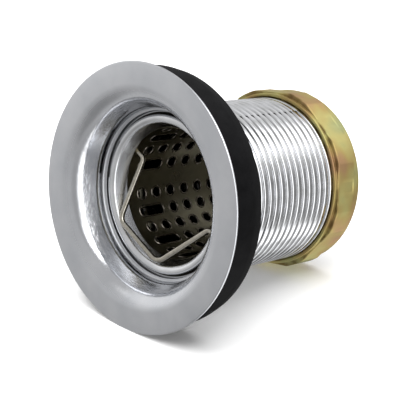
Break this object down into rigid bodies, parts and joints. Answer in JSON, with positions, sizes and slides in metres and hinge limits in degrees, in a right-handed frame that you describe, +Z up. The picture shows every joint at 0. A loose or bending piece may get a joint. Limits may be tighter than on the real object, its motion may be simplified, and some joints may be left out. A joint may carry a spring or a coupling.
{
  "type": "sink strainer",
  "caption": "Flanged sink drain with a threaded shank, a rubber washer, a locknut and a lift-out perforated cup with a swinging bail.",
  "frame": {"origin": "centre of the outlet end of the shank, with the part standing upright", "axes": "+Z up the drain axis towards the flange, +X along the bail hinge, +Y towards the side the bail rests on"},
  "size_m": [0.073, 0.073, 0.065],
  "materials": {
    "satin_steel": "satin pressed sheet",
    "bright_plating": "bright plated",
    "black_rubber": "matt moulded",
    "yellow_brass": "yellow passivated",
    "rim_steel": "bright pressed sheet",
    "wall_steel": "polished perforated sheet",
    "base_steel": "polished perforated sheet",
    "bail_wire": "bright drawn wire"
  },
  "bodies": {
    "drain": {"flange_bowl": "satin_steel", "threaded_shank": "bright_plating"},
    "washer": {"rubber_washer": "black_rubber"},
    "nut": {"locknut": "yellow_brass"},
    "cup": {"cup_rim": "rim_steel", "perforated_wall": "wall_steel", "cup_base": "base_steel"},
    "bail": {"bail": "bail_wire"}
  },
  "joints": [
    {"name": "cup_lift", "type": "slide", "parent": "drain", "child": "cup", "axis": [0, 0, 1], "range_m": [0, 0.06]},
    {"name": "bail_swing", "type": "hinge", "parent": "cup", "child": "bail", "pos_m": [0, 0, 0.04995], "axis": [1, 0, 0], "range_deg": [0, 144]},
    {"name": "washer_slide", "type": "slide", "parent": "drain", "child": "washer", "axis": [0, 0, 1], "range_m": [-0.012, 0]},
    {"name": "locknut_travel", "type": "slide", "parent": "drain", "child": "nut", "axis": [0, 0, 1], "range_m": [0, 0.029]}
  ]
}
